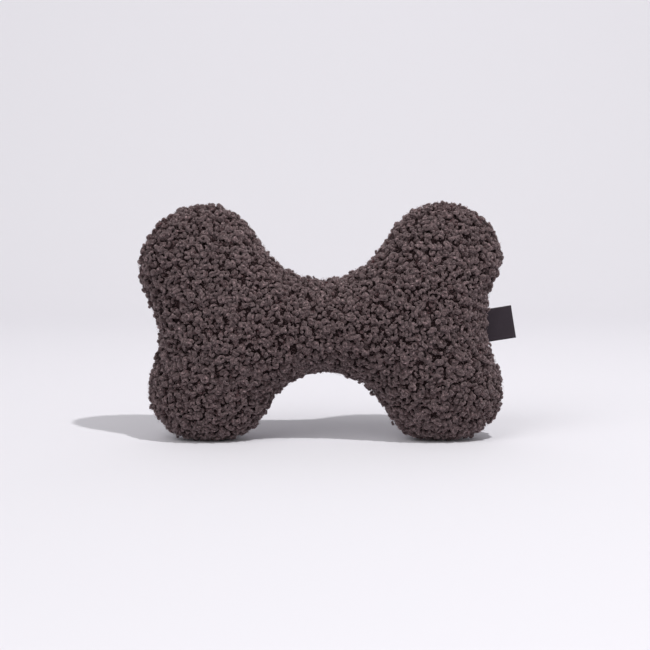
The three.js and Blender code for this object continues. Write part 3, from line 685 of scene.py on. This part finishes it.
def waddingMaterial():
    # Hollow polyester fibre, carded and blown in: white, soft and matt.
    look = {"shade": "#d3d1cb", "light": "#f4f3ef", "fibre": 2.5, "lump": 14.0, "relief": 0.8}
    material = newMaterial("hollowFibre")
    place = addNode(material, "TexCoord")
    fibres = addNode(material, "TexNoise", {"Scale": 1000 / look["fibre"], "Detail": 6.0, "Distortion": 2.5},
                     {"Vector": place.outputs["Object"]})
    lumps = addNode(material, "TexNoise", {"Scale": 1000 / look["lump"], "Detail": 2.0},
                    {"Vector": place.outputs["Object"]})
    both = addNode(material, "Math", {1: 0.5}, {0: fibres.outputs[0], 2: lumps.outputs[0]},
                   operation="MULTIPLY_ADD")
    level = addNode(material, "MapRange", {"From Min": 0.5, "From Max": 1.0}, {"Value": both.outputs[0]})
    colour = addNode(material, "Mix", {6: linear(look["shade"]), 7: linear(look["light"])},
                     {0: level.outputs[0]}, data_type="RGBA")
    bump = addNode(material, "Bump", {"Strength": 0.8, "Distance": look["relief"] * mm},
                   {"Height": fibres.outputs[0]})
    shader = addNode(material, "BsdfPrincipled",
                     {"Roughness": 0.9, "Sheen Weight": 0.5, "Sheen Roughness": 0.5},
                     {"Base Color": colour.outputs[2], "Normal": bump.outputs[0]})
    return closeMaterial(material, shader)


# "voxel", "lump" and "tuft" are sizes, "hollow" and "fringe" how deep the furrows between the lumps and
# the tufts go, and a higher "furrow" makes the furrows narrower
wad = {"voxel": 2.4, "lump": 11.0, "furrow": 4.0, "hollow": 0.7, "tuft": 4.0, "fringe": 0.15}


def makeWads():
    fibre = waddingMaterial()
    for node in sorted(n for n in nodes if n.startswith("fill_")):
        piece = newPiece(node.replace("fill_", "wad_"), nodeCopy(node), fibre)
        remesh = piece.modifiers.new("evenFaces", "REMESH")
        remesh.mode = "VOXEL"
        remesh.voxel_size = wad["voxel"] * mm
        bpy.context.view_layer.update()
        shaped = bpy.data.meshes.new_from_object(piece.evaluated_get(bpy.context.evaluated_depsgraph_get()))
        piece.modifiers.clear()
        bm = bmesh.new()
        bm.from_mesh(shaped)
        bpy.data.meshes.remove(shaped)
        bm.normal_update()
        # blown fibre packs in lumps
        moves = []
        for vert in bm.verts:
            lump = abs(noise.noise(vert.co / (wad["lump"] * mm)))
            furrow = (1 - min(1, wad["furrow"] * lump)) ** 2
            tuft = noise.noise(vert.co / (wad["tuft"] * mm))
            moves.append(vert.normal * (wad["fringe"] * tuft - wad["hollow"] * furrow) * mm)
        for vert, move in zip(bm.verts, moves):
            vert.co += move
        bm.to_mesh(piece.data)
        bm.free()
        piece.data.polygons.foreach_set("use_smooth", [True] * len(piece.data.polygons))
        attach(piece, "toy")
        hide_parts(node)
        print(piece.name, len(piece.data.polygons), "faces")


makeWads()


def threadMaterial(name, dark, light):
    # Spun polyester sewing thread: three plies twisted hard, so it shows small slanting ribs.
    look = {"ply": 0.42, "slant": (1.0, 0.35, 1.0), "fluff": 0.5, "roughness": 0.55, "relief": 0.1}
    material = newMaterial(name)
    place = addNode(material, "TexCoord")
    turned = addNode(material, "VectorMath", {1: look["slant"]}, {0: place.outputs["Object"]},
                     operation="DOT_PRODUCT")
    angle = addNode(material, "Math", {1: 2 * math.pi / (look["ply"] * mm)}, {0: turned.outputs["Value"]},
                    operation="MULTIPLY")
    wave = addNode(material, "Math", None, {0: angle.outputs[0]}, operation="SINE")
    fluff = addNode(material, "TexNoise", {"Scale": 1000 / look["fluff"], "Detail": 3.0},
                    {"Vector": place.outputs["Object"]})
    both = addNode(material, "Math", {1: 0.3}, {0: wave.outputs[0], 2: fluff.outputs[0]},
                   operation="MULTIPLY_ADD")
    level = addNode(material, "MapRange", {"From Min": 0.2, "From Max": 0.85}, {"Value": both.outputs[0]})
    colour = addNode(material, "Mix", {6: linear(dark), 7: linear(light)}, {0: level.outputs[0]},
                     data_type="RGBA")
    bump = addNode(material, "Bump", {"Strength": 0.6, "Distance": look["relief"] * mm},
                   {"Height": both.outputs[0]})
    shader = addNode(material, "BsdfPrincipled",
                     {"Roughness": look["roughness"], "Sheen Weight": 0.2, "Specular IOR Level": 0.5},
                     {"Base Color": colour.outputs[2], "Normal": bump.outputs[0]})
    return closeMaterial(material, shader)


def mouldedMaterial(look):
    # Moulded plastic: smooth, with the faint flow marks and orange peel of the tool.
    material = newMaterial(look["name"])
    place = addNode(material, "TexCoord")
    flow = addNode(material, "TexNoise", {"Scale": 1000 / look["flow"], "Detail": 2.0, "Distortion": 1.2},
                   {"Vector": place.outputs["Object"]})
    peel = addNode(material, "TexNoise", {"Scale": 1000 / look["grain"], "Detail": 2.0},
                   {"Vector": place.outputs["Object"]})
    colour = addNode(material, "Mix", {6: linear(look["deep"]), 7: linear(look["clear"])},
                     {0: flow.outputs[0]}, data_type="RGBA")
    rough = addNode(material, "MapRange", {"To Min": look["roughness"][0], "To Max": look["roughness"][1]},
                    {"Value": peel.outputs[0]})
    bump = addNode(material, "Bump", {"Strength": 0.25, "Distance": look["relief"] * mm},
                   {"Height": peel.outputs[0]})
    shader = addNode(material, "BsdfPrincipled",
                     {"IOR": look["ior"], "Subsurface Weight": 0.15, "Subsurface Scale": 2 * mm},
                     {"Base Color": colour.outputs[2], "Roughness": rough.outputs[0],
                      "Normal": bump.outputs[0]})
    return closeMaterial(material, shader)


def filmMaterial():
    # Polyester film, stamped from a stretched sheet: amber, stiff and glossy, with faint drawing lines.
    look = {"deep": "#c8912f", "clear": "#dba94e", "line": 0.15, "run": 4.0, "relief": 0.02}
    material = newMaterial("reedFilm")
    place = addNode(material, "TexCoord")
    drawn = addNode(material, "Mapping",
                    {"Scale": (1000 / look["line"], 1000 / look["run"], 1000 / look["line"])},
                    {"Vector": place.outputs["Object"]})
    lines = addNode(material, "TexNoise", {"Scale": 1.0, "Detail": 2.0}, {"Vector": drawn.outputs[0]})
    colour = addNode(material, "Mix", {6: linear(look["deep"]), 7: linear(look["clear"])},
                     {0: lines.outputs[0]}, data_type="RGBA")
    rough = addNode(material, "MapRange", {"To Min": 0.1, "To Max": 0.24}, {"Value": lines.outputs[0]})
    bump = addNode(material, "Bump", {"Strength": 0.15, "Distance": look["relief"] * mm},
                   {"Height": lines.outputs[0]})
    shader = addNode(material, "BsdfPrincipled", {"IOR": 1.64, "Transmission Weight": 0.4},
                     {"Base Color": colour.outputs[2], "Roughness": rough.outputs[0],
                      "Normal": bump.outputs[0]})
    return closeMaterial(material, shader)


# the blown bulb is waxy and dull, the sleeve with its bed and clamp is hard and glossier
blownBulb = {
    "name": "blownPolyethylene", "deep": "#e3ded2", "clear": "#efebe2", "roughness": (0.32, 0.46),
    "ior": 1.51, "flow": 7.2, "grain": 0.9, "relief": 0.05,
}
hardSleeve = {
    "name": "mouldedPolystyrene", "deep": "#ecebe6", "clear": "#f6f5f2", "roughness": (0.16, 0.30),
    "ior": 1.59, "flow": 4.8, "grain": 0.6, "relief": 0.02,
}


def finishNode(material, *names):
    for name in names:
        for place in nodes[name].material_slots:
            place.material = material


finishNode(threadMaterial("seamThread", "#2b2224", "#5d5052"), "seam_needle_thread", "seam_bobbin_thread")
finishNode(threadMaterial("closingThread", "#2e2527", "#665859"), "closing_thread")
finishNode(mouldedMaterial(blownBulb), "squeaker_bulb")
finishNode(mouldedMaterial(hardSleeve), "squeaker_sleeve", "reed_bed", "reed_clamp")
finishNode(filmMaterial(), "squeaker_reed")
print("inner parts finished")


shot = {"lens": 100.0, "sensor": 36.0, "distance": 1100.0, "elevation": 7.0, "aim": (-1.6, 0.0, 70.6)}


def makeCamera():
    camera = bpy.data.objects.new("camera", bpy.data.cameras.new("camera"))
    bpy.context.scene.collection.objects.link(camera)
    camera.data.lens = shot["lens"]
    camera.data.sensor_width = shot["sensor"]
    camera.data.clip_start, camera.data.clip_end = 0.05, 20
    tilt = math.radians(shot["elevation"])
    back = Vector((0, -math.cos(tilt), math.sin(tilt)))
    camera.location = Vector(shot["aim"]) * mm + back * shot["distance"] * mm
    camera.rotation_euler = (-back).to_track_quat("-Z", "Y").to_euler()
    bpy.context.scene.camera = camera


stage = {
    # the sheet of paper, in metres, and its two greys with the places where one turns into the other: painted
    # light, darker near the front and lighter towards the wall
    "wide": 8.0, "front": -3.0, "bend": 0.62, "radius": 0.5, "high": 2.5,
    "near": "#dfdde2", "far": "#f1eff4", "paintedFalloff": (-0.4, 0.5),
    # place and width in metres, and watts: a small lamp draws the shadow and a wide one fills it
    "key": ((0.43, -0.64, 1.35), 0.05, 13.4), "fill": ((-0.8, -1.2, 1.6), 1.4, 12.3),
    "target": (0, 0, 0.05), "world": 0.41,
}


def paperMaterial():
    # Uncoated studio paper: pale and matt, with painted light that makes it a little lighter towards the
    # wall.
    material = newMaterial("paperSweep")
    place = addNode(material, "TexCoord")
    flat = addNode(material, "SeparateXYZ", None, {0: place.outputs["Object"]})
    # painted light: the paper gets lighter from the front towards the wall
    start, end = stage["paintedFalloff"]
    back = addNode(material, "MapRange", {"From Min": start, "From Max": end}, {"Value": flat.outputs[1]},
                   interpolation_type="SMOOTHSTEP")
    colour = addNode(material, "Mix", {6: linear(stage["near"]), 7: linear(stage["far"])},
                     {0: back.outputs[0]}, data_type="RGBA")
    shader = addNode(material, "BsdfPrincipled", {"Roughness": 0.9, "Specular IOR Level": 0.1},
                     {"Base Color": colour.outputs[2]})
    return closeMaterial(material, shader)


def makePaper():
    bm = bmesh.new()
    side, bend, radius = -stage["wide"] / 2, stage["bend"], stage["radius"]
    start = bm.verts.new((side, stage["front"], 0))
    end = bm.verts.new((side, bend, 0))
    bm.edges.new((start, end))
    # it curves up into the wall
    bmesh.ops.spin(bm, geom=[end], cent=(side, bend, radius), axis=(1, 0, 0), angle=math.pi / 2, steps=24)
    top = max(bm.verts, key=lambda v: v.co.z)
    lifted = bmesh.ops.extrude_vert_indiv(bm, verts=[top])["verts"]
    bmesh.ops.translate(bm, verts=lifted, vec=(0, 0, stage["high"]))
    grown = bmesh.ops.extrude_edge_only(bm, edges=bm.edges[:])["geom"]
    bmesh.ops.translate(bm, verts=[v for v in grown if isinstance(v, bmesh.types.BMVert)],
                        vec=(stage["wide"], 0, 0))
    bmesh.ops.recalc_face_normals(bm, faces=bm.faces)
    newPiece("paper_sweep", bm, paperMaterial())


def makeLamp(name):
    place, size, power = stage[name]
    lamp = bpy.data.lights.new(name, "AREA")
    lamp.shape = "DISK"
    lamp.size = size
    lamp.energy = power
    holder = bpy.data.objects.new(name, lamp)
    bpy.context.scene.collection.objects.link(holder)
    holder.location = place
    holder.rotation_euler = (Vector(stage["target"]) - Vector(place)).to_track_quat("-Z", "Y").to_euler()


def makeWorld():
    world = bpy.data.worlds.new("studio")
    bpy.context.scene.world = world
    world.use_nodes = True
    sky = world.node_tree.nodes["Background"]
    sky.inputs["Color"].default_value = linear("#ffffff")
    sky.inputs["Strength"].default_value = stage["world"]
    bpy.context.scene.view_settings.view_transform = "Standard"


makeCamera()
makePaper()
makeLamp("key")
makeLamp("fill")
makeWorld()
print("stage made")
